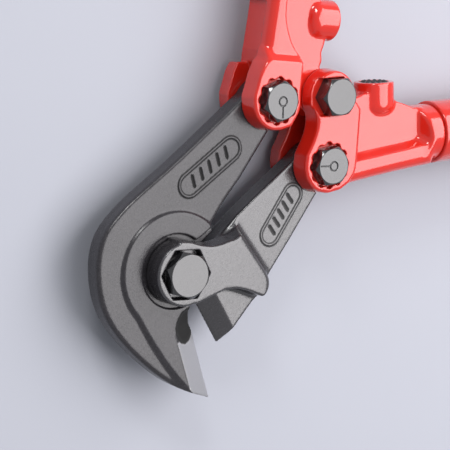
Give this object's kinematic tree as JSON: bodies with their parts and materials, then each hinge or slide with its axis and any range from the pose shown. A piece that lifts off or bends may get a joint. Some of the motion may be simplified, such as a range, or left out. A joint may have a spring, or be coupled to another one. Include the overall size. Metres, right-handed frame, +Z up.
{
  "type": "bolt cutters",
  "caption": "Long-handled mesh cutters: a hook blade and a fork blade close on a bar by toggling forged handle heads with tube handles.",
  "frame": {"origin": "on the blade pivot's axis, in the plane that the tool rests on when it lies on its back", "axes": "+X from the blade pivot to the handle pivot, between the handles; +Y towards the hook blade's handle; +Z up, out of the front faces, along every pivot"},
  "size_m": [0.7761, 1.1398, 0.0444],
  "materials": {
    "red_paint": "gloss",
    "blade_steel": "satin",
    "bolt_steel": "satin",
    "nut_steel": "satin",
    "stop_rubber": "matte",
    "grip_plastic": "matte",
    "grip_rubber": "matte"
  },
  "bodies": {
    "hook": {"hook_blade": "blade_steel"},
    "fork": {"fork_blade": "blade_steel", "pivot_bolt": "bolt_steel", "pivot_washer": "nut_steel", "pivot_nut": "nut_steel"},
    "left_handle": {"left_handle_head": "red_paint", "left_handle_tube": "red_paint", "left_grip_sleeve": "grip_plastic", "left_grip_pad": "grip_rubber", "left_grip_end_cap": "grip_plastic", "left_stop_buffer": "stop_rubber", "left_eccentric_bolt": "bolt_steel", "left_eccentric_washer": "nut_steel", "left_eccentric_nut": "nut_steel"},
    "right_handle": {"right_handle_head": "red_paint", "right_handle_tube": "red_paint", "right_grip_sleeve": "grip_plastic", "right_grip_pad": "grip_rubber", "right_grip_end_cap": "grip_plastic", "right_stop_buffer": "stop_rubber", "right_eccentric_bolt": "bolt_steel", "right_eccentric_washer": "nut_steel", "right_eccentric_nut": "nut_steel", "handle_pivot_bolt": "bolt_steel", "handle_pivot_washer": "nut_steel", "handle_pivot_nut": "nut_steel"}
  },
  "joints": [
    {"name": "left_handle_pivot", "type": "hinge", "parent": "hook", "child": "left_handle", "pos_m": [0.0979, 0.024, 0.0215], "axis": [0, 0, 1], "range_deg": [-39.5, 9]},
    {"name": "blade_pivot", "type": "hinge", "parent": "hook", "child": "fork", "pos_m": [0, 0, 0.0215], "axis": [0, 0, 1], "range_deg": [-13.2, 3.01]},
    {"name": "right_handle_pivot", "type": "hinge", "parent": "fork", "child": "right_handle", "pos_m": [0.0979, -0.024, 0.0215], "axis": [0, 0, 1], "range_deg": [-9.01, 39.51]}
  ],
  "couplings": [
    {"joint": "blade_pivot", "follows": "left_handle_pivot", "ratio": 0.33392},
    {"joint": "right_handle_pivot", "follows": "left_handle_pivot", "ratio": -1}
  ]
}
